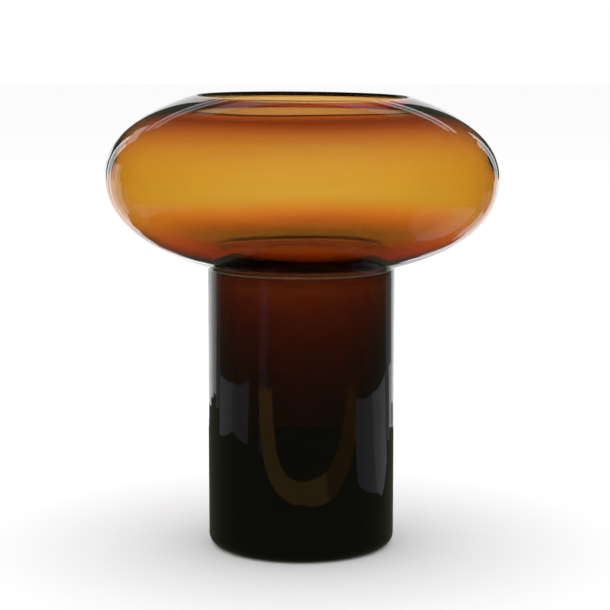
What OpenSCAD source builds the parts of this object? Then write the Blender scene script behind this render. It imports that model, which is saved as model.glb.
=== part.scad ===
// Hand-blown vase in cased glass: a wide, flattened bulb fused onto an upright stem.
// Millimetres, +Z up, origin at the centre of the foot. Every piece is turned about the Z axis.
// Each gather of glass is its own solid, and neighbours meet face to face, as fused glass does.

/* [Overall] */
// Height from the table to the top of the lip
height = 242; // [236:1:250]
// Widest diameter of the bulb
bulb_d = 209; // [200:1:220]
// Outside diameter of the stem
stem_d = 100; // [94:1:106]
// Clear diameter of the mouth
mouth_d = 112; // [104:1:120]

/* [Bulb] */
// Height of the bulb's widest circle
equator_z = 199.5; // [197:0.5:202]
// Height at which the bulb's underside meets the stem
joint_z = 152; // [148:1:155]
// Roundness of the upper half: 2 is an ellipse, and more is squarer
upper_power = 2.06; // [2.04:0.01:2.12]
// Roundness of the upper half's inside, which thins the wall at the shoulder
inner_power = 2.4; // [2.2:0.01:2.4]
// Roundness of the lower half
lower_power = 2.21; // [1.9:0.01:2.5]
// Thickness of the bulb's pale outer gather at its widest
bulb_casing_t = 2.4; // [2.3:0.1:2.8]
// Thickness of the bulb's amber inner gather at its widest
bulb_lining_t = 1.6; // [1.5:0.1:2]
// Thickness of the lip
lip_t = 2.4; // [2.2:0.1:3]
// Thickness of the outer gather at the bulb's floor
floor_casing_t = 2; // [1.8:0.1:2.6]
// Thickness of the amber gather at the bulb's floor
floor_lining_t = 2.2; // [1.5:0.1:2.4]

/* [Stem] */
// Thickness of the stem's smoky outer gather
stem_casing_t = 2.2; // [1.8:0.1:2.6]
// Thickness of the stem's whole wall at the top of its bore
wall_top_t = 8; // [7:0.5:9]
// Thickness of the stem's whole wall where the black base begins
wall_low_t = 20; // [17:0.5:22]
// Radius of the rounded edge of the foot
foot_round = 6; // [5:0.5:8]
// Radius of the rounded edge where the bulb's floor turns down into the bore
throat_round = 2; // [1.5:0.1:2.5]
// Depth of the funnel from that floor to the top of the bore
throat_depth = 6; // [5.5:0.5:10]

/* [Base] */
// Height of the black base where it meets the wall
base_z = 51; // [46:1:60]
// Height of the lowest point of the bore
bore_floor_z = 24; // [18:1:30]
// Radius of the ground and polished hollow under the foot
pontil_r = 17; // [12:1:24]
// Depth of that hollow
pontil_depth = 1.2; // [0.8:0.1:1.4]

/* [Joint ring] */
// Radius of the concave fillet where the bulb is fused to the stem
fillet_r = 2.5; // [2:0.5:4]

/* [Hidden] */
$fn = 96;
curve_steps = 28;
round_steps = 8;
bulb_r = bulb_d / 2;
stem_r = stem_d / 2;
core_r = stem_r - stem_casing_t;
bore_top_r = stem_r - wall_top_t;
bore_low_r = stem_r - wall_low_t;
seam_r = bulb_r - bulb_casing_t;
inner_r = seam_r - bulb_lining_t;
lip_r = lip_t / 2;
lip_centre = [mouth_d / 2 + lip_r, height - lip_r];
seam_floor_z = joint_z + floor_casing_t;
inner_floor_z = seam_floor_z + floor_lining_t;

// Height of a superellipse over its own centre, as a share of its rise, at share u of its radius.
function bow(u, power) = pow(1 - pow(u, power), 1 / power);

// Slope of that curve at radius r, in degrees from the horizontal.
function slope(r, radius, rise, power) =
    atan(rise / radius * pow(r / radius, power - 1) * pow(bow(r / radius, power), 1 - power));

// The two upper curves end on opposite sides of the lip's round nose.
lip_rise = (lip_centre[1] - equator_z) / bow(lip_centre[0] / bulb_r, upper_power);
lip_slope = slope(lip_centre[0], bulb_r, lip_rise, upper_power);
nose_out = lip_centre + lip_r * [sin(lip_slope), cos(lip_slope)];
nose_in = lip_centre - lip_r * [sin(lip_slope), cos(lip_slope)];
outer_rise = (nose_out[1] - equator_z) / bow(nose_out[0] / bulb_r, upper_power);
inner_rise = (nose_in[1] - equator_z) / bow(nose_in[0] / inner_r, inner_power);

// The three lower curves reach the stem at the joint, the seam's floor and the inner floor.
outer_drop = (equator_z - joint_z) / bow(stem_r / bulb_r, lower_power);
seam_drop = (equator_z - seam_floor_z) / bow(core_r / seam_r, lower_power);
inner_drop = (equator_z - inner_floor_z) / bow(core_r / inner_r, lower_power);

// Half of a bulb curve, from the equator to radius end_r. A negative rise gives the lower half.
function half_curve(end_r, radius, rise, power) =
    let (last = acos(pow(end_r / radius, power / 2)))
    [for (i = [0:curve_steps])
        let (a = last * i / curve_steps)
        [radius * pow(cos(a), 2 / power), equator_z + rise * pow(sin(a), 2 / power)]];

function backwards(points) = [for (i = [len(points) - 1:-1:0]) points[i]];

// The whole curve, from the stem out to the equator and in to the lip.
function bulb_curve(low_r, drop, radius, upper) = concat(
    backwards(half_curve(low_r, radius, -drop, lower_power)),
    [for (i = [1:curve_steps]) upper[i]]);

function arc(centre, r, from, to) =
    [for (i = [0:round_steps])
        let (a = from + (to - from) * i / round_steps)
        centre + r * [cos(a), sin(a)]];

// A cup's outline with a rounded lower edge, from the axis to the foot of its wall.
function cup(r, z, rounding) = concat([[0, z]], arc([r - rounding, z + rounding], rounding, -90, 0));

outer_upper = half_curve(nose_out[0], bulb_r, outer_rise, upper_power);
inner_upper = half_curve(nose_in[0], inner_r, inner_rise, inner_power);

// The upper seam runs between those two, and ends in the middle of the lip.
share = bulb_casing_t / (bulb_casing_t + bulb_lining_t);
seam_upper = [for (i = [0:curve_steps])
    let (w = share + (0.5 - share) * i / curve_steps)
    (1 - w) * outer_upper[i] + w * inner_upper[i]];

outer_curve = bulb_curve(stem_r, outer_drop, bulb_r, outer_upper);
seam_curve = bulb_curve(core_r, seam_drop, seam_r, seam_upper);
inner_curve = bulb_curve(core_r, inner_drop, inner_r, inner_upper);
foot_cup = cup(stem_r, 0, foot_round);
core_cup = cup(core_r, stem_casing_t, foot_round - stem_casing_t);

// Pale outer gather of the bulb, from its flat seat on the stem to the outer half of the lip.
module bulb_casing() color("wheat", 0.4)
    rotate_extrude()
        polygon(concat(
            outer_curve,
            arc(lip_centre, lip_r, 90 - lip_slope, 180 - lip_slope),
            [lip_centre],
            backwards(seam_curve),
            [[core_r, joint_z]]));

// Amber inner gather of the bulb, which closes the lip from inside.
module bulb_lining() color("darkorange", 0.7)
    rotate_extrude()
        polygon(concat(
            seam_curve,
            arc(lip_centre, lip_r, 180 - lip_slope, 270 - lip_slope),
            backwards(inner_curve)));

// Concave ring of clear glass in the corner where the two blown halves were fused.
module joint_ring() {
    tilt = slope(stem_r + fillet_r / 2, bulb_r, outer_drop, lower_power);
    centre = [stem_r + fillet_r, joint_z + fillet_r * (tan(tilt) - 1 / cos(tilt))];
    touch = centre + fillet_r * [-sin(tilt), cos(tilt)];
    color("whitesmoke", 0.5)
        rotate_extrude()
            difference() {
                polygon(concat(
                    arc(centre, fillet_r, 180, 90 + tilt),
                    [[touch[0], joint_z + fillet_r], [stem_r, joint_z + fillet_r]]));
                polygon(concat(outer_curve, [[0, height], [0, joint_z]]));
            }
}

// Smoky outer gather of the stem: a deep cup with a rounded foot and a polished hollow under it.
module stem_casing() color("sienna", 0.6)
    difference() {
        rotate_extrude()
            polygon(concat(foot_cup, [[stem_r, joint_z], [core_r, joint_z]], backwards(core_cup)));
        pontil();
    }

// The ball that cuts the hollow. It meets the foot in a circle of radius pontil_r.
module pontil() {
    ball_r = (pontil_r * pontil_r + pontil_depth * pontil_depth) / (2 * pontil_depth);
    translate([0, 0, pontil_depth - ball_r]) sphere(r = ball_r);
}

// Brown inner gather of the stem: a tube with a tapering bore, which opens as a funnel in the bulb's floor.
module stem_core() {
    tilt = slope(core_r, inner_r, inner_drop, lower_power);
    turn_centre = [core_r, inner_floor_z] + throat_round * [sin(tilt), -cos(tilt)];
    color("saddlebrown")
        rotate_extrude()
            polygon(concat(
                [[bore_low_r, base_z], [core_r, base_z]],
                arc(turn_centre, throat_round, 90 + tilt, 160),
                [[bore_top_r, inner_floor_z - throat_depth]]));
}

// Black glass that fills the foot. The hollow in its top is the round bottom of the bore.
module base_plug() color("black")
    rotate_extrude()
        polygon(concat(
            core_cup,
            [[core_r, base_z]],
            [for (i = [0:curve_steps])
                let (a = 90 * i / curve_steps)
                [bore_low_r * cos(a), base_z - (base_z - bore_floor_z) * sin(a)]]));

bulb_casing();
bulb_lining();
joint_ring();
stem_casing();
stem_core();
base_plug();
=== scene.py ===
import math

import bpy
import numpy as np
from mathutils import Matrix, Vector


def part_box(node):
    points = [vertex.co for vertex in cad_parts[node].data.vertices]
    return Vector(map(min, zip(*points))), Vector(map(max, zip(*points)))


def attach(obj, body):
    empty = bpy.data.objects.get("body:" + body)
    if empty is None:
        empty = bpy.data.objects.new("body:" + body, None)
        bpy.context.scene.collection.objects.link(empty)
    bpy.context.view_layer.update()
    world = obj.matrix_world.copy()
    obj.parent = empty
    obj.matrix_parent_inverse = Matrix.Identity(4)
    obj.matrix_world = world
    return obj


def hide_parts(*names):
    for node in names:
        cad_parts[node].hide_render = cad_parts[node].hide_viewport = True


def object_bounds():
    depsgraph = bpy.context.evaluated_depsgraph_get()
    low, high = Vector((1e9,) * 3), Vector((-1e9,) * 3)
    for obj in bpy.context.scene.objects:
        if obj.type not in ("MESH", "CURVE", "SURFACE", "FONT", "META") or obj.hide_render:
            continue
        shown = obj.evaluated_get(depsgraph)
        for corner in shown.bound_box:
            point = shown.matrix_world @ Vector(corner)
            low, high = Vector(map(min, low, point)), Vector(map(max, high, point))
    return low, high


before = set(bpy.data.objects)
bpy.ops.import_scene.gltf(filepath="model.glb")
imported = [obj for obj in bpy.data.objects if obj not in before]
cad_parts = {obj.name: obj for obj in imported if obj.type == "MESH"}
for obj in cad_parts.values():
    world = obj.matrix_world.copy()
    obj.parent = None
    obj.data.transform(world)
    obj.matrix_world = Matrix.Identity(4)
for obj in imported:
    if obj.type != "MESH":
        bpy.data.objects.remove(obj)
cad_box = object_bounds()
scene = bpy.context.scene

# ---- Camera -----------------------------------------------------------------------------------
# A long lens about a metre away, a little above the vase and tipped down far enough to see into
# its mouth. Light may pass through many layers of glass before a ray is given up.

camera_data = bpy.data.cameras.new("camera")
camera_data.sensor_width = 36.0
camera_data.lens = 115.7
camera = bpy.data.objects.new("camera", camera_data)
camera.location = (0.0021, -1.042, 0.2766)
camera.rotation_euler = (math.radians(90 - 8.02), 0, 0)
scene.collection.objects.link(camera)
scene.camera = camera
scene.view_settings.view_transform = "Standard"
scene.cycles.max_bounces = 32
scene.cycles.transmission_bounces = 32
scene.cycles.transparent_max_bounces = 32
scene.cycles.glossy_bounces = 8

# ---- Studio -----------------------------------------------------------------------------------
# A white table in a white room, which the glass shows by refraction. Its mirror reflections see a
# dim room instead, with the soft boxes, the papers and the strips of a product table in it.

ROOM = (0.09, 0.09, 0.06)
WHITE = (1.0, 1.0, 1.0)
PAPER = (0.93, 0.95, 1.0)
WOOD = (1.0, 0.6, 0.22)
FLOOR_WHITE = (0.96, 0.96, 0.96)
ROOM_R = 9.0
SCREEN_R = 2.6
DIM_Z, CARD_Z, PAPER_Z = 0.0004, 0.0008, 0.0010
LAMP_SIZE, LAMP_Z, LAMP_POWER = 2.4, 2.4, 13


class Wire:
    """A node's output, on which +, - and * add Math nodes."""

    def __init__(self, nodes, socket):
        self.nodes, self.socket = nodes, socket

    def maths(self, operation, *values):
        return self.nodes.add("Math", {"operation": operation}, {i: v for i, v in enumerate(values)})

    def __add__(self, other):
        return self.maths("ADD", self, other)

    def __sub__(self, other):
        return self.maths("SUBTRACT", self, other)

    def __rsub__(self, other):
        return self.maths("SUBTRACT", other, self)

    def __mul__(self, other):
        return self.maths("MULTIPLY", self, other)

    __radd__, __rmul__ = __add__, __mul__


class Nodes:
    """A node tree. add() makes any node, sets its settings, then fills or links its sockets."""

    def __init__(self, owner):
        owner.use_nodes = True
        self.tree = owner.node_tree

    def add(self, kind, settings=None, sockets=None, output=0):
        node = self.tree.nodes.new("ShaderNode" + kind)
        for key, value in (settings or {}).items():
            if key == "stops":
                self.set_stops(node.color_ramp.elements, value)
            else:
                setattr(node, key, value)
        self.fill(node, sockets or {})
        return Wire(self, node.outputs[output])

    def fill(self, node, sockets):
        for key, value in sockets.items():
            if isinstance(value, Wire):
                self.tree.links.new(value.socket, node.inputs[key])
            else:
                node.inputs[key].default_value = value

    @staticmethod
    def set_stops(elements, stops):
        while len(elements) < len(stops):
            elements.new(0.5)
        for element, (place, colour) in zip(elements, stops):
            element.position, element.color = place, (*colour, 1.0)


def polar(azimuth, distance, height):
    """The point at a distance and height, at degrees to the right of straight behind the vase."""
    angle = math.radians(azimuth)
    return (distance * math.sin(angle), distance * math.cos(angle), height)


def stage_card(name, outline, colour, glow, **seen_by):
    """One flat polygon of the studio: a lamp of strength glow, or matt where glow is 0."""
    mesh = bpy.data.meshes.new(name)
    mesh.from_pydata(outline, [], [tuple(range(len(outline)))])
    piece = bpy.data.objects.new(name, mesh)
    scene.collection.objects.link(piece)
    material = bpy.data.materials.new(name)
    nodes = Nodes(material)
    nodes.tree.nodes.remove(nodes.tree.nodes["Principled BSDF"])
    paint = (*colour, 1.0)
    shader = (nodes.add("Emission", None, {"Color": paint, "Strength": glow}) if glow
              else nodes.add("BsdfDiffuse", None, {"Color": paint}))
    nodes.fill(nodes.tree.nodes["Material Output"], {"Surface": shader})
    mesh.materials.append(material)
    for ray, seen in seen_by.items():
        setattr(piece, "visible_" + ray, seen)
    return piece


ONLY_MIRRORED = dict(camera=False, diffuse=False, transmission=False, shadow=False)


def sector(name, left, right, first, last, glow):
    """A white card between two azimuths, from one (distance, height) to another."""
    span = np.linspace(left, right, 7)
    outline = [polar(a, *first) for a in span] + [polar(a, *last) for a in span[::-1]]
    stage_card(name, outline, WHITE, glow, **ONLY_MIRRORED)


circle = range(0, 360, 5)
stage_card("floor", [polar(a, ROOM_R, 0) for a in circle], FLOOR_WHITE, 0)
stage_card("dim_floor", [polar(a, ROOM_R, DIM_Z) for a in circle], ROOM, 1.0, **ONLY_MIRRORED)

# Upright cards behind the vase: degrees left and right, height from and to, and brightness.
for number, (left, right, low, high, glow) in enumerate([
        (-53, -50.5, 0.00, 0.57, 0.60), (-49.5, -45, 0.00, 0.57, 1.00), (-44, -39, 0.00, 0.50, 0.75),
        (-37.5, -34.5, 0.00, 1.04, 1.80), (-33.8, -31, 0.00, 1.00, 1.30), (-30.2, -27, 0.00, 1.04, 1.90),
        (-37, -24, 1.05, 1.36, 0.80),
        (-23, -18, 0.00, 0.38, 1.60), (-17.4, -13, 0.00, 0.36, 1.40),
        (-12, 12, 0.00, 1.36, 1.10),
        (22, 25.4, 0.00, 0.95, 1.35), (26, 28, 0.00, 0.90, 1.00), (28.8, 32, 0.00, 0.95, 1.35),
        (-30, -10, 1.44, 1.56, 0.75), (-30, -10, 1.62, 1.76, 0.60),
        (-9, 9, 1.44, 1.56, 1.00), (-9, 9, 1.62, 1.76, 0.80),
        (10, 30, 1.44, 1.56, 1.20), (10, 30, 1.62, 1.76, 0.90),
        (-20, 20, 2.00, 2.50, 0.35)]):
    sector(f"screen_{number}", left, right, (SCREEN_R, low), (SCREEN_R, high), glow)

# Cards that lie on the table: degrees left and right, distance from and to, and brightness.
for number, (left, right, near, far, glow) in enumerate([
        (-65, -55, 0.42, 1.50, 0.20),
        (-55, -46, 0.47, SCREEN_R, 0.70),
        (-46, -36, 0.45, SCREEN_R, 1.05),
        (-36, -32.5, 0.41, SCREEN_R, 1.90), (-31.5, -29, 0.41, SCREEN_R, 1.20),
        (-28, -25, 0.41, SCREEN_R, 1.90),
        (-25, -19, 0.35, SCREEN_R, 0.90),
        (-19, -14, 0.32, SCREEN_R, 1.80), (-13, -8, 0.32, SCREEN_R, 1.40),
        (8, 18, 0.36, SCREEN_R, 0.80),
        (18, 21.5, 0.32, SCREEN_R, 1.70), (22.5, 26, 0.32, SCREEN_R, 1.30),
        (26, 35, 0.42, SCREEN_R, 1.10),
        (35, 45, 0.335, 0.60, 0.75),
        (35, 45, 0.60, 1.50, 0.25),
        (45, 55, 0.30, 1.20, 0.20),
        (-140, -130, 0.31, 1.20, 0.17)]):
    sector(f"fan_{number}", left, right, (near, CARD_Z), (far, CARD_Z), glow)

# Glowing cards seen only in mirror reflections, shaped as torn sheets of paper and a bent strip of
# wood on the table: corners by degrees and distance.
for name, colour, glow, corners in [
        ("paper_left", PAPER, 0.36, [(-66, 0.33), (-66, 0.57), (-90, 0.55), (-92, 0.36)]),
        ("paper_far_left", PAPER, 0.26, [(-92, 0.36), (-90, 0.55), (-116, 0.57), (-116, 0.33)]),
        ("paper_right", PAPER, 0.42, [
            (57, 0.24), (57, 0.57), (72, 0.52), (86, 0.50), (84, 0.17), (76, 0.155)]),
        ("paper_far_right", PAPER, 0.28, [
            (84, 0.17), (86, 0.50), (115, 0.50), (113, 0.21), (98, 0.18)]),
        ("tray_left", WOOD, 0.45, [
            (-129, 0.55), (-131, 0.42), (-136, 0.30), (-142, 0.25), (-152, 0.21), (-165, 0.185),
            (-165, 0.25), (-155, 0.29), (-150, 0.36), (-147, 0.45), (-146, 0.55)]),
        ("tray_front", WOOD, 0.45, [
            (-165, 0.185), (-172, 0.175), (180, 0.178), (165, 0.172), (150, 0.18),
            (152, 0.26), (168, 0.24), (180, 0.235), (-165, 0.25)]),
        ("tray_right", WOOD, 0.25, [
            (150, 0.18), (140, 0.20), (128, 0.24), (118, 0.30), (112, 0.42), (112, 0.55),
            (124, 0.55), (130, 0.40), (140, 0.31), (152, 0.26)])]:
    stage_card(name, [polar(a, far, PAPER_Z) for a, far in corners], colour, glow, **ONLY_MIRRORED)

world = bpy.data.worlds.new("studio")
scene.world = world
air = Nodes(world)
rays = [air.add("LightPath", output=name) for name in ("Is Glossy Ray", "Is Reflection Ray")]
bright = air.add("Background", None, {"Color": (*WHITE, 1.0)})
dim = air.add("Background", None, {"Color": (*ROOM, 1.0)})
air.fill(air.tree.nodes["World Output"],
         {"Surface": air.add("MixShader", None, {0: rays[0] * rays[1], 1: bright, 2: dim})})

lamp_data = bpy.data.lights.new("top_lamp", "AREA")
lamp_data.shape = "DISK"
lamp_data.size = LAMP_SIZE
lamp_data.energy = LAMP_POWER
lamp = bpy.data.objects.new("top_lamp", lamp_data)
lamp.location = (0, 0, LAMP_Z)
lamp.visible_glossy = lamp.visible_transmission = False
scene.collection.objects.link(lamp)

# ---- Bulb's outer gather ----------------------------------------------------------------------
# The pale amber outside of the flattened bulb, blown and then spun open to its fire-polished lip.
# Fused glass shows no surface inside its wall, so this piece carries the wall's whole skin, and the
# deeper gathers are bodies of colour within it that bend no light.

MM = 0.001
HEIGHT = cad_box[1][2]
BULB_R = cad_box[1][0]
STEM_R = float(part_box("stem_casing")[1][0])
CORE_R = float(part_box("stem_core")[1][0])
JOINT_Z = float(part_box("stem_casing")[1][2])
MOUTH_R = 56 * MM
EQUATOR_Z = 199.5 * MM
CASING_T = 2.4 * MM
LINING_T = 1.6 * MM
LIP_R = 1.2 * MM
SEAM_FLOOR_Z = JOINT_Z + 2.0 * MM
INNER_FLOOR_Z = SEAM_FLOOR_Z + 2.2 * MM
UPPER_OUT, UPPER_IN = 2.06, 2.4
LOWER_OUT, LOWER_IN = 2.21, 2.24
FILLET_R = 2.5 * MM
LEAN = math.radians(0.58)
MOUTH_DIP = 0.0078
WAVE = 0.22 * MM
PALE_AMBER = (26.4, 80, 246)
GLASS_IOR = 1.5
CURVE_STEPS, FILLET_STEPS, LIP_STEPS, ROUND_STEPS = 72, 14, 20, 256
SHARP = math.radians(40)

# The bulb's skin and the stem's overlap by this much each, so that no light is caught between them.
LAP = 0.025 * MM


def bow(u, power):
    """Height of a superellipse over its centre, as a share of its rise, at share u of its radius."""
    return (1 - u ** power) ** (1 / power)


def slope(r, radius, rise, power):
    """Slope of that curve at radius r, in radians from the horizontal."""
    u = r / radius
    return math.atan(rise / radius * u ** (power - 1) * bow(u, power) ** (1 - power))


def half_curve(end_r, radius, rise, power):
    """Points (r, z) from the equator to radius end_r: radius cos^(2/p), equator + rise sin^(2/p)."""
    a = math.acos((end_r / radius) ** (power / 2)) * np.linspace(0, 1, CURVE_STEPS)
    return np.stack([radius * np.cos(a) ** (2 / power), EQUATOR_Z + rise * np.sin(a) ** (2 / power)], 1)


def arc(centre, r, start, end, steps):
    """Points on a circle, from the start angle to the end angle in degrees."""
    a = np.radians(np.linspace(start, end, steps))
    return np.array(centre) + r * np.stack([np.cos(a), np.sin(a)], 1)


def smooth(value, low, high):
    """0 below low and 1 above high, along 3t^2 - 2t^3 between them."""
    t = np.clip((value - low) / (high - low), 0, 1)
    return t * t * (3 - 2 * t)


def settle(points):
    """Hand work's lack of truth: the bulb leans to +X by LEAN, and the lip dips towards -Y.

    Both are shears that grow with height: the lean from the stem to the bulb's floor, and the dip
    over the last centimetres under the lip.
    """
    x, y, z = points[:, 0], points[:, 1], points[:, 2]
    lean = LEAN * smooth(z, 140 * MM, 175 * MM)
    dip = MOUTH_DIP * smooth(z, 215 * MM, 240 * MM)
    return np.stack([x + (z - JOINT_Z) * lean, y, z - x * lean + (y - 58 * MM) * dip], 1)


def turned(name, profile, waves=0.0):
    """A profile (r, z) turned about the vase's axis: (r cos a, r sin a, z), then settled.

    The profile runs anticlockwise with r to the right. If it starts and ends on the axis, each end
    is one pole point; if not, its end joins its start. Where waves is above 0, each point moves along
    the profile's normal by that length times a sum of slow sines of angle and height.
    """
    profile = np.asarray(profile, float)
    poles = profile[0, 0] < 1e-9
    along = np.gradient(profile, axis=0)
    along /= np.linalg.norm(along, axis=1)[:, None] + 1e-12
    a = np.linspace(0, 2 * np.pi, ROUND_STEPS, endpoint=False)
    z = profile[:, 1:]
    swell = (0.5 * np.sin(2 * a + 38 * z + 0.7) + 0.3 * np.sin(3 * a - 61 * z + 2.1)
             + 0.2 * np.sin(5 * a + 97 * z + 4.0)) * np.broadcast_to(waves, len(profile))[:, None]
    r = profile[:, :1] + along[:, 1:] * swell
    z = z - along[:, :1] * swell
    grid = np.stack([r * np.cos(a), r * np.sin(a), z], -1)
    if poles:
        first_pole, last_pole = [[0, 0, profile[0, 1]]], [[0, 0, profile[-1, 1]]]
        points = np.concatenate([first_pole, grid[1:-1].reshape(-1, 3), last_pole])
        index = np.arange(len(points) - 2).reshape(-1, ROUND_STEPS) + 1
        low, high = index[:-1], index[1:]
    else:
        points = grid.reshape(-1, 3)
        index = np.arange(len(points)).reshape(-1, ROUND_STEPS)
        low, high = index, np.roll(index, -1, 0)
    quads = np.stack([low, np.roll(low, -1, 1), np.roll(high, -1, 1), high], -1).reshape(-1, 4).tolist()
    fans = []
    if poles:
        first, last = index[0], index[-1]
        fans = (np.stack([0 * first, np.roll(first, -1), first], 1).tolist()
                + np.stack([last, np.roll(last, -1), 0 * last + len(points) - 1], 1).tolist())
    mesh = bpy.data.meshes.new(name)
    mesh.from_pydata(settle(points), [], quads + fans)
    mesh.polygons.foreach_set("use_smooth", np.ones(len(mesh.polygons), bool))
    mesh.set_sharp_from_angle(angle=SHARP)
    mesh.validate()
    piece = bpy.data.objects.new(name, mesh)
    scene.collection.objects.link(piece)
    return piece


def inner_waves(z):
    """Depth of the waviness inside the bulb: WAVE at mid height, and none at the floor and the lip."""
    return WAVE * smooth(z, 158 * MM, 172 * MM) * (1 - smooth(z, 228 * MM, 238 * MM))


def glass(name, absorbed, ior, tint_and_shade_stops=None, cords=0.0):
    """Clear glass that absorbs so much red, green and blue per metre.

    Stops (z in mm, colour), if given, make a tint that changes with height, and may carry painted
    shade. cords is the depth in metres of the faint streaks in blown glass: noise that is drawn out
    along the circumference, with a slower noise for the broad dents under it.
    """
    material = bpy.data.materials.new(name)
    nodes = Nodes(material)
    shader = nodes.tree.nodes["Principled BSDF"]
    nodes.fill(shader, {"Transmission Weight": 1.0, "IOR": ior, "Roughness": 0.0,
                        "Base Color": (1.0, 1.0, 1.0, 1.0)})
    place = nodes.add("TexCoord", output="Object")
    if tint_and_shade_stops:
        low, high = tint_and_shade_stops[0][0], tint_and_shade_stops[-1][0]
        height = nodes.add("SeparateXYZ", None, {0: place}, output="Z")
        stops = [((z - low) / (high - low), colour) for z, colour in tint_and_shade_stops]
        share = (height - low * MM) * (1 / ((high - low) * MM))
        ramp = nodes.add("ValToRGB", {"stops": stops}, {0: share})
        nodes.fill(shader, {"Base Color": ramp})
    if cords:
        drawn = nodes.add("Mapping", None, {"Vector": place, "Scale": (9.0, 9.0, 60.0)})
        streak = nodes.add("TexNoise", None, {"Vector": drawn, "Scale": 1.0, "Detail": 3.0})
        slow = nodes.add("TexNoise", None, {"Vector": place, "Scale": 14.0, "Detail": 1.0})
        nodes.fill(shader, {"Normal": nodes.add("Bump", None, {
            "Height": 0.6 * streak + 0.8 * slow, "Strength": 1.0, "Distance": cords})})
    strongest = max(absorbed)
    volume = nodes.add("VolumeAbsorption", None, {
        "Density": strongest, "Color": (*(1 - s / strongest for s in absorbed), 1.0)})
    nodes.fill(nodes.tree.nodes["Material Output"], {"Volume": volume})
    return material


lip = np.array([MOUTH_R + LIP_R, HEIGHT - LIP_R])
lip_rise = (lip[1] - EQUATOR_Z) / bow(lip[0] / BULB_R, UPPER_OUT)
lip_slope = slope(lip[0], BULB_R, lip_rise, UPPER_OUT)
lip_step = LIP_R * np.array([math.sin(lip_slope), math.cos(lip_slope)])
nose_out, nose_in = lip + lip_step, lip - lip_step
seam_r = BULB_R - CASING_T
inner_r = seam_r - LINING_T
outer_rise = (nose_out[1] - EQUATOR_Z) / bow(nose_out[0] / BULB_R, UPPER_OUT)
inner_rise = (nose_in[1] - EQUATOR_Z) / bow(nose_in[0] / inner_r, UPPER_IN)
outer_drop = (EQUATOR_Z - JOINT_Z) / bow(STEM_R / BULB_R, LOWER_OUT)
seam_drop = (EQUATOR_Z - SEAM_FLOOR_Z) / bow(CORE_R / seam_r, LOWER_OUT)
inner_drop = (EQUATOR_Z - INNER_FLOOR_Z) / bow(CORE_R / inner_r, LOWER_IN)
outer_upper = half_curve(nose_out[0], BULB_R, outer_rise, UPPER_OUT)
inner_upper = half_curve(nose_in[0], inner_r, inner_rise, UPPER_IN)
outer_lower = half_curve(STEM_R, BULB_R, -outer_drop, LOWER_OUT)[::-1]
inner_lower = half_curve(CORE_R, inner_r, -inner_drop, LOWER_IN)[::-1]

# The fillet's circle touches the stem's wall and the bulb's underside.
fillet_tilt = slope(STEM_R + FILLET_R / 2, BULB_R, outer_drop, LOWER_OUT)
fillet_z = JOINT_Z + FILLET_R * (math.tan(fillet_tilt) - 1 / math.cos(fillet_tilt))
fillet_end = 90 + math.degrees(fillet_tilt)
fillet = arc([STEM_R + FILLET_R, fillet_z], FILLET_R, 180, fillet_end, FILLET_STEPS)
under_bulb = outer_lower[outer_lower[:, 0] > fillet[-1, 0]]
lip_angle = 90 - math.degrees(lip_slope)
lip_nose = arc(lip, LIP_R, lip_angle, lip_angle + 180, LIP_STEPS)
outside = np.concatenate([fillet, under_bulb, outer_upper[1:], lip_nose[1:-1]])
inside = np.concatenate([inner_upper[::-1], inner_lower[::-1][1:-1]])
seat = np.array([[CORE_R - LAP, INNER_FLOOR_Z], [CORE_R - LAP, fillet_z - LAP],
                 [STEM_R - LAP / 10, fillet_z - LAP]])
bulb_waves = np.concatenate([0 * outside[:, 0], inner_waves(inside[:, 1]), 0 * seat[:, 0]])
bulb_casing = turned("bulb_casing_glass", np.concatenate([outside, inside, seat]), bulb_waves)
bulb_casing.data.materials.append(glass("pale_amber", PALE_AMBER, GLASS_IOR, cords=0.06 * MM))
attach(bulb_casing, "root")
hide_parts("bulb_casing")

# ---- Bulb's inner gather ----------------------------------------------------------------------
# The strong amber glass that was blown first, inside the pale one. It is fused to it all over, and
# the two close together in the lip. Its tint is darker under the lip and round the floor, partly as
# the amber's own colour and partly as painted shade.

AMBER = (47.8, 144.2, 442)
NO_BENDING = 1.0
SKIN = 0.025
EVEN_SHADE = (0.05, 0.0, 0.1)
FLOOR_SHADE, FLOOR_FADE = (2.9, 3.5, 3.2), (5, 2.2, 2.6)
UPPER_SHADE, UPPER_RISE, UPPER_FADE = (0.7, 1.75, 2.45), (3, 2.2, 2), (2.2, 1.5, 1)
LIP_SHADE, RIM_SHADE = (0.0, 0.27, 0.87), (1.4, 1.6, 1.3)
FLOOR_MM, CLEAR_MM, PALE_MM, DARK_MM, LIP_MM, RIM_MM = 154, 184, 195, 232, 239.4, 240


# Partly the amber's own colour, partly painted shade: the tint darkens round the floor and towards the
# lip.
def amber_tint_and_shade(z):
    """Tint at height z in mm: exp(-density) in red, green and blue, on top of the even amber.

    The floor's shade fades upwards as (1 - u)^fade. Above PALE_MM the upper shade grows as u^rise up
    to DARK_MM, then fades as (1 - u)^fade while the lip's grows as u. u runs from 0 to 1 in each
    stretch.
    """
    up = min((z - FLOOR_MM) / (CLEAR_MM - FLOOR_MM), 1)
    deepen = min(max((z - PALE_MM) / (DARK_MM - PALE_MM), 0), 1)
    over = max((z - DARK_MM) / (LIP_MM - DARK_MM), 0)
    shades = zip(EVEN_SHADE, FLOOR_SHADE, FLOOR_FADE, UPPER_SHADE, UPPER_RISE, UPPER_FADE, LIP_SHADE)
    return tuple(math.exp(-even * (1 - over) - floor * (1 - up) ** floor_fade
                          - upper * deepen ** rise * (1 - over) ** upper_fade - lip_shade * over)
                 for even, floor, floor_fade, upper, rise, upper_fade, lip_shade in shades)


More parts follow.
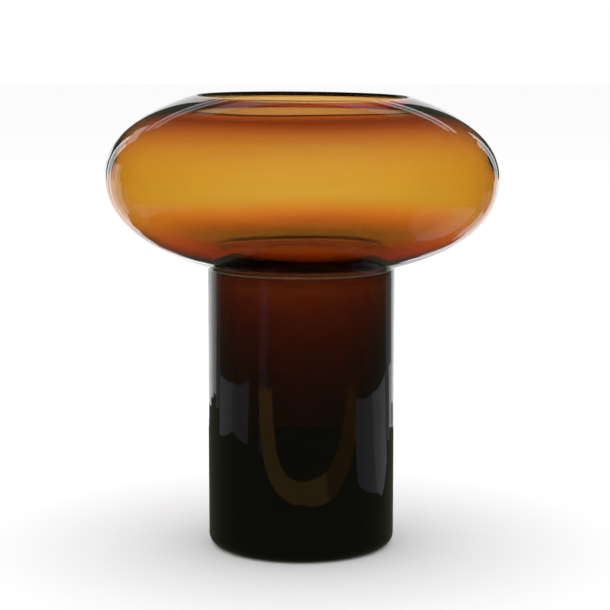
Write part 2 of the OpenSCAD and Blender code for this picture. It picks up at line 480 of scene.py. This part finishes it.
# Stops of the amber tint with its painted shade, round the floor, under the lip and on the rim.
tinted_z = np.concatenate([np.linspace(FLOOR_MM, CLEAR_MM, 9), np.linspace(PALE_MM, DARK_MM, 9),
                           np.linspace(DARK_MM, LIP_MM, 5)[1:]])
AMBER_AND_SHADE_STOPS = [(float(z), amber_tint_and_shade(z)) for z in tinted_z]
AMBER_AND_SHADE_STOPS += [(RIM_MM, tuple(math.exp(-shade) for shade in RIM_SHADE))]

# Its outer side is the seam with the pale gather. Its inner side lies a share SKIN of the wall's
# thickness under the wall's inner surface, so that the light bends only at that surface.
share = CASING_T / (CASING_T + LINING_T)
blend = (share + (0.5 - share) * np.linspace(0, 1, CURVE_STEPS))[:, None]
seam_upper = (1 - blend) * outer_upper + blend * inner_upper
seam_lower = half_curve(CORE_R, seam_r, -seam_drop, LOWER_OUT)[::-1]
skin_upper = SKIN * outer_upper + (1 - SKIN) * inner_upper
skin_lower = SKIN * outer_lower + (1 - SKIN) * inner_lower
skin = np.concatenate([skin_upper[::-1], skin_lower[::-1][1:]])
seam = np.concatenate([seam_lower, seam_upper[1:]])
lining_waves = np.concatenate([0 * seam[:, 0], inner_waves(skin[:, 1])])
bulb_lining = turned("bulb_lining_glass", np.concatenate([seam, skin]), lining_waves)
bulb_lining.data.materials.append(glass("amber", AMBER, NO_BENDING, tint_and_shade_stops=AMBER_AND_SHADE_STOPS))
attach(bulb_lining, "root")
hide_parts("bulb_lining")

# ---- Joint ring -------------------------------------------------------------------------------
# The clear bead in the corner under the bulb, where the two blown halves were fused in the flame.
# It drew up into a small concave fillet all round.

CLEAR = (90, 160, 180)
INSET = 0.1 * MM
ring_front = arc([STEM_R + FILLET_R, fillet_z], FILLET_R + INSET, 180, fillet_end, FILLET_STEPS)
ring_roof = outer_lower[outer_lower[:, 0] < fillet[-1, 0]][::-1] + [0, INSET]
ring_back = [[STEM_R - INSET, JOINT_Z], [STEM_R - INSET, fillet_z + INSET]]
joint_ring = turned("joint_ring_glass", np.concatenate([ring_front, ring_roof[:-1], ring_back]))
joint_ring.data.materials.append(glass("clear", CLEAR, NO_BENDING))
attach(joint_ring, "root")
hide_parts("joint_ring")

# ---- Stem's outer gather ----------------------------------------------------------------------
# The smoky outside of the upright stem, with a softly rounded foot and a hollow ground under it
# where the pontil rod was broken off. As on the bulb, this piece carries the whole wall's skin: the
# outside, the mouth of the bore in the bulb's floor, the tapering bore and its round bottom.

STEM_CASING_T = STEM_R - CORE_R
BORE_TOP_R = STEM_R - 8 * MM
BORE_LOW_R = STEM_R - 20 * MM
BASE_Z = float(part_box("base_plug")[1][2])
BORE_FLOOR_Z = 24 * MM
FOOT_ROUND = 6 * MM
THROAT_ROUND, THROAT_DEPTH = 2 * MM, 6 * MM
PONTIL_R, PONTIL_DEPTH = 17 * MM, 1.2 * MM
SMOKY = (40, 70, 100)
FOOT_STEPS, THROAT_STEPS, WALL_STEPS = 16, 14, 40
THROAT_END = 160

ball_r = (PONTIL_R ** 2 + PONTIL_DEPTH ** 2) / (2 * PONTIL_DEPTH)
hollow_r = np.linspace(0, PONTIL_R, 10)
hollow = np.stack([hollow_r, PONTIL_DEPTH - ball_r + np.sqrt(ball_r ** 2 - hollow_r ** 2)], 1)
foot = arc([STEM_R - FOOT_ROUND, FOOT_ROUND], FOOT_ROUND, -90, 0, FOOT_STEPS)
wall_z = np.linspace(FOOT_ROUND, fillet_z + LAP, WALL_STEPS)[1:]
wall = np.stack([0 * wall_z + STEM_R, wall_z], 1)
throat_tilt = slope(CORE_R + LAP, inner_r, inner_drop, LOWER_IN)
turn_centre = [CORE_R + LAP - THROAT_ROUND * math.sin(throat_tilt),
               INNER_FLOOR_Z - 0.02 * MM - THROAT_ROUND * math.cos(throat_tilt)]
turn = arc(turn_centre, THROAT_ROUND, 90 + math.degrees(throat_tilt), THROAT_END, THROAT_STEPS)
neck_z = np.linspace(fillet_z + LAP, turn[0, 1] - 0.05 * MM, 6)
neck = np.stack([0 * neck_z + CORE_R + LAP, neck_z], 1)

# The funnel is a quadratic Bezier curve. It leaves the throat's round along its tangent, and ends at
# the top of the bore.
t = np.linspace(0, 1, 16)[1:, None]
bore_top = np.array([BORE_TOP_R, INNER_FLOOR_Z - THROAT_DEPTH])
leaving = np.array([math.tan(math.radians(180 - THROAT_END)), 1.0])
pull = turn[-1] + (bore_top[1] - turn[-1, 1]) / 2 * leaving
funnel = (1 - t) ** 2 * turn[-1] + 2 * t * (1 - t) * pull + t ** 2 * bore_top
bore = bore_top + np.linspace(0, 1, WALL_STEPS)[1:, None] * (np.array([BORE_LOW_R, BASE_Z]) - bore_top)
quarter = np.linspace(0, math.pi / 2, WALL_STEPS)[:, None]
bowl = np.hstack([BORE_LOW_R * np.cos(quarter), BASE_Z - (BASE_Z - BORE_FLOOR_Z) * np.sin(quarter)])
bowl[-1, 0] = 0
stem_skin = np.concatenate([hollow, foot, wall, neck, turn, funnel, bore, bowl[1:]])
stem_casing = turned("stem_casing_glass", stem_skin)
stem_casing.data.materials.append(glass("smoky", SMOKY, GLASS_IOR, cords=0.03 * MM))
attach(stem_casing, "root")
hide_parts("stem_casing")

# ---- Stem's inner gather ----------------------------------------------------------------------
# The brown glass round the bore, fused inside the smoky one. It is thicker towards the foot, and its
# top, under the bulb, is darkened with painted shade.

BROWN = (125, 225, 400)
# Painted shade: the core's top, under the bulb, is tinted darker than the brown glass below.
UNDER_BULB_SHADE_STOPS = [(0, (1, 1, 1)), (143, (1, 1, 1)), (150, (0.45, 0.22, 0.3)), (160, (0.45, 0.22, 0.3))]
core_wall_z = np.linspace(BASE_Z, turn[0, 1] - 4 * INSET, WALL_STEPS)
core_wall = np.stack([0 * core_wall_z + CORE_R + LAP - INSET, core_wall_z], 1)
core_bore = np.concatenate([turn + [INSET, -INSET], funnel + [INSET, 0], bore + [INSET, 0]])
stem_core = turned("stem_core_glass", np.concatenate([core_bore[-1:], core_wall, core_bore[:-1]]))
stem_core.data.materials.append(glass("brown", BROWN, NO_BENDING, tint_and_shade_stops=UNDER_BULB_SHADE_STOPS))
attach(stem_core, "root")
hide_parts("stem_core")

# ---- Base -------------------------------------------------------------------------------------
# A gather of black glass that fills the foot and weights it, fused to the gathers round it and
# above it. The bore ends in it as a round bowl.

BLACK = (900, 1200, 1500)
plug_round = FOOT_ROUND - STEM_CASING_T
plug_foot = arc([STEM_R - FOOT_ROUND, FOOT_ROUND], plug_round, -90, 0, FOOT_STEPS)
plug_shoulder = [[CORE_R + LAP - INSET, BASE_Z - INSET]]
plug_bowl = bowl + np.cos(quarter) * [INSET, 0] - [0, INSET]
plug_bowl[-1, 0] = 0
base_plug = turned("base_plug_glass", np.concatenate([
    [[0, STEM_CASING_T]], plug_foot, plug_shoulder, plug_bowl]))
base_plug.data.materials.append(glass("black", BLACK, NO_BENDING))
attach(base_plug, "root")
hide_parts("base_plug")
